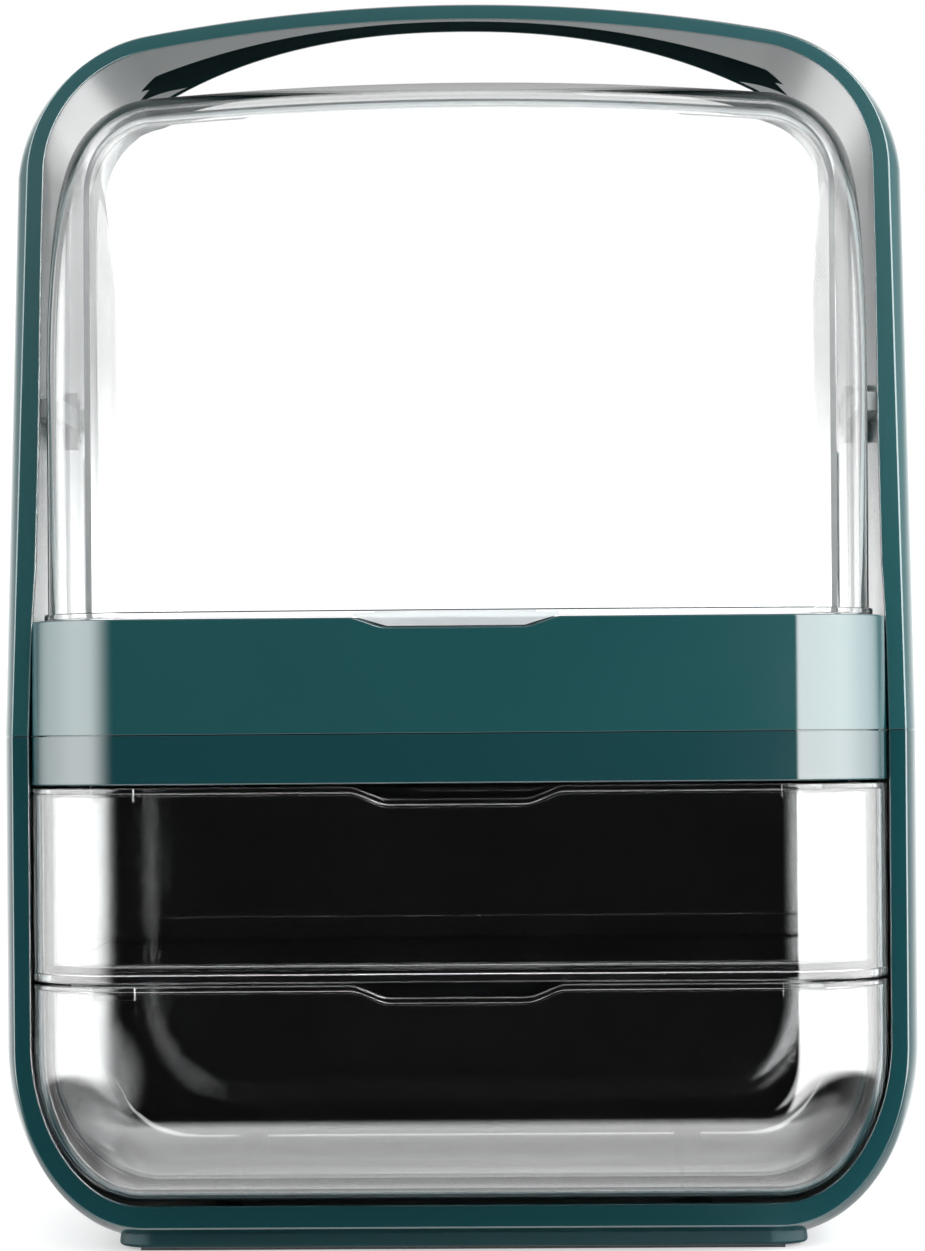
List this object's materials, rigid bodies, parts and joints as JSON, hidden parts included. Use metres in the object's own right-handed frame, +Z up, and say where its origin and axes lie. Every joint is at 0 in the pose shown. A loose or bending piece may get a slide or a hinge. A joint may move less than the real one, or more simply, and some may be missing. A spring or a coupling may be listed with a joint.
{
  "type": "cosmetics organizer case",
  "caption": "Countertop makeup organizer: clear flip-up dust cover over an open tray, clear pull-out drawers below, and a rounded hoop that frames it and is the carrying handle.",
  "frame": {"origin": "on the surface that the organizer stands on, under the middle of its width and depth", "axes": "+Z up, -Y out of the drawer fronts towards the user, +X to the user's right"},
  "size_m": [0.272, 0.19, 0.378],
  "materials": {
    "green_gloss": "glossy moulded dark teal green",
    "green_matte": "fine grained near-black green",
    "dark_inside": "satin near-black",
    "clear_plastic": "clear polished",
    "rubber_black": "matte"
  },
  "bodies": {
    "case": {"base_plinth": "green_gloss", "foot_strip_front": "rubber_black", "foot_strip_rear": "rubber_black", "lower_shell": "green_gloss", "back_panel": "green_gloss", "side_frame_left": "dark_inside", "side_frame_right": "dark_inside", "divider_shelf": "dark_inside", "floor_runner_left": "dark_inside", "floor_runner_right": "dark_inside", "lower_deck": "green_gloss", "upper_tray": "green_gloss", "upper_hoop": "green_gloss", "hoop_liner": "green_gloss", "handle_grip": "green_matte", "back_cover": "clear_plastic", "pivot_pin_left": "green_gloss", "pivot_pin_right": "green_gloss"},
    "cover": {"flip_cover": "clear_plastic"},
    "drawer_lower": {"drawer_lower_tray": "clear_plastic", "drawer_lower_front": "clear_plastic", "drawer_lower_clip_left": "clear_plastic", "drawer_lower_clip_right": "clear_plastic"},
    "drawer_upper": {"drawer_upper_tray": "clear_plastic", "drawer_upper_front": "clear_plastic", "drawer_upper_clip_left": "clear_plastic", "drawer_upper_clip_right": "clear_plastic"}
  },
  "joints": [
    {"name": "cover_flip", "type": "hinge", "parent": "case", "child": "cover", "pos_m": [0, 0.01, 0.2504], "axis": [-1, 0, 0], "range_deg": [0, 101]},
    {"name": "drawer_lower_slide", "type": "slide", "parent": "case", "child": "drawer_lower", "axis": [0, -1, 0], "range_m": [0, 0.13]},
    {"name": "drawer_upper_slide", "type": "slide", "parent": "case", "child": "drawer_upper", "axis": [0, -1, 0], "range_m": [0, 0.13]}
  ]
}
